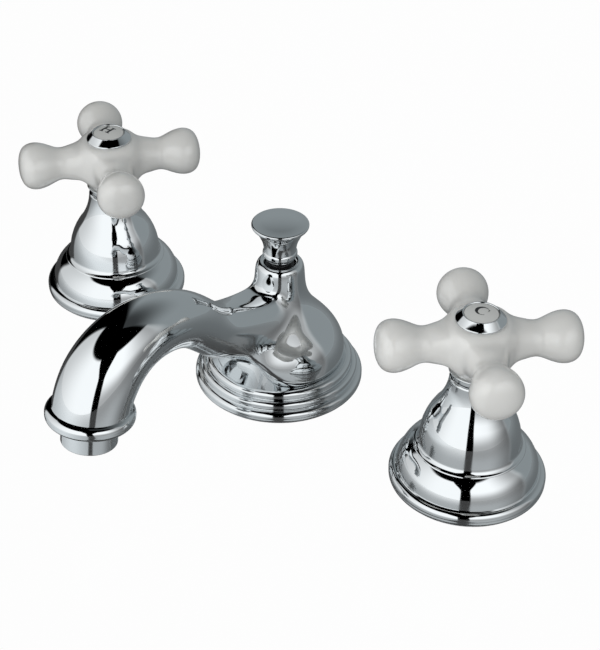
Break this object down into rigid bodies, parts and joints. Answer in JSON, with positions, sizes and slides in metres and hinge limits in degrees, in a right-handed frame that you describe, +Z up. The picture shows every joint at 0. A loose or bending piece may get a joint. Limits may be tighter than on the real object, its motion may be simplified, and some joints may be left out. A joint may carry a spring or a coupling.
{
  "type": "basin tap set",
  "caption": "Deck-mounted widespread basin tap set: low swan spout with lift knob, bell-shaped valves with porcelain cross handles and hot and cold markers.",
  "frame": {"origin": "centre of the spout hole on the top face of the deck", "axes": "+Z up out of the deck, the spout points to -Y, the cold valve stands at +X and the hot valve at -X"},
  "size_m": [0.2709, 0.1613, 0.2166],
  "materials": {
    "chrome": "polished",
    "porcelain": "glossy glaze",
    "marker": "glossy glaze",
    "brass": "machined",
    "steel": "zinc plated",
    "rod_steel": "polished",
    "rubber": "matt",
    "fibre": "matt",
    "clear_gasket": "matt, translucent",
    "white_plastic": "matt",
    "black_plastic": "satin",
    "ceramic": "lapped"
  },
  "bodies": {
    "fixed_parts": {"aerator_housing": "chrome", "aerator_insert": "white_plastic", "aerator_washer": "rubber", "cold_bell": "chrome", "cold_bell_gasket": "clear_gasket", "cold_cartridge_housing": "brass", "cold_fixed_disc": "ceramic", "cold_lock_nut": "brass", "cold_rubber_washer": "rubber", "cold_seat_seal": "rubber", "cold_steel_washer": "steel", "cold_stem_o_ring": "rubber", "cold_top_nut": "brass", "cold_top_washer": "fibre", "cold_valve_body": "brass", "hot_bell": "chrome", "hot_bell_gasket": "clear_gasket", "hot_cartridge_housing": "brass", "hot_fixed_disc": "ceramic", "hot_lock_nut": "brass", "hot_rubber_washer": "rubber", "hot_seat_seal": "rubber", "hot_steel_washer": "steel", "hot_stem_o_ring": "rubber", "hot_top_nut": "brass", "hot_top_washer": "fibre", "hot_valve_body": "brass", "rod_bushing": "black_plastic", "rod_tube": "brass", "spout_body": "chrome", "spout_flange": "chrome", "spout_gasket": "clear_gasket", "spout_lock_nut": "brass", "spout_rubber_washer": "rubber", "spout_shank": "brass", "spout_steel_washer": "steel", "tee_connector": "brass", "tee_nut": "brass", "tee_o_ring": "rubber", "tee_seal": "rubber"},
    "hot_handle": {"hot_cross_handle": "porcelain", "hot_handle_ferrule": "chrome", "hot_handle_insert": "brass", "hot_handle_screw": "steel", "hot_index_ring": "chrome", "hot_index_disc": "marker", "hot_cartridge_stem": "brass", "hot_moving_disc": "ceramic"},
    "cold_handle": {"cold_cross_handle": "porcelain", "cold_handle_ferrule": "chrome", "cold_handle_insert": "brass", "cold_handle_screw": "steel", "cold_index_ring": "chrome", "cold_index_disc": "marker", "cold_cartridge_stem": "brass", "cold_moving_disc": "ceramic"},
    "lift_rod": {"lift_knob": "chrome", "lift_rod": "rod_steel"}
  },
  "joints": [
    {"name": "hot_handle_turn", "type": "hinge", "parent": "fixed_parts", "child": "hot_handle", "pos_m": [-0.1016, 0, 0.0677], "axis": [0, 0, 1], "range_deg": [0, 90]},
    {"name": "cold_handle_turn", "type": "hinge", "parent": "fixed_parts", "child": "cold_handle", "pos_m": [0.1016, 0, 0.0677], "axis": [0, 0, 1], "range_deg": [-90, 0]},
    {"name": "lift_rod_slide", "type": "slide", "parent": "fixed_parts", "child": "lift_rod", "axis": [0, 0, 1], "range_m": [0, 0.028]}
  ]
}
